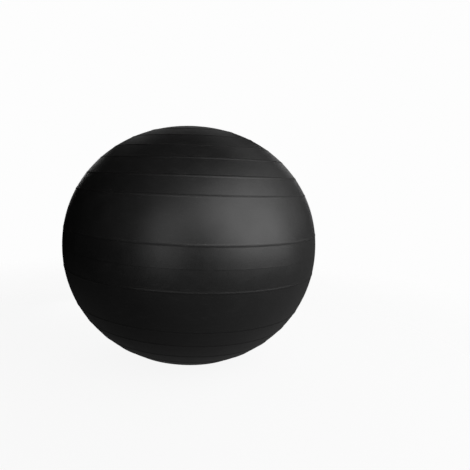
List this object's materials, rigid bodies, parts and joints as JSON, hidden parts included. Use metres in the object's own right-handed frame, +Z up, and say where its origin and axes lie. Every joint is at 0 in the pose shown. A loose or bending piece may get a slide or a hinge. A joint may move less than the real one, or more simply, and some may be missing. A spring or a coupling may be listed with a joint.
{
  "type": "exercise ball",
  "caption": "Large inflatable ball with a hollow vinyl skin, raised rings round it and a valve plug that pulls out.",
  "frame": {"origin": "centre of the flat patch where the ball rests on the floor, under its lower pole", "axes": "+Z up through both poles and square to the rings, +Y towards the side with the valve"},
  "size_m": [0.6504, 0.6504, 0.6078],
  "materials": {
    "skin": "satin",
    "valve_seat": "satin",
    "valve_plug": "satin"
  },
  "bodies": {
    "ball": {"ball_skin": "skin", "valve_seat": "valve_seat"},
    "plug": {"valve_plug": "valve_plug"}
  },
  "joints": [
    {"name": "plug_slide", "type": "slide", "parent": "ball", "child": "plug", "axis": [0, 0.9516, 0.3075], "range_m": [0, 0.03]}
  ]
}
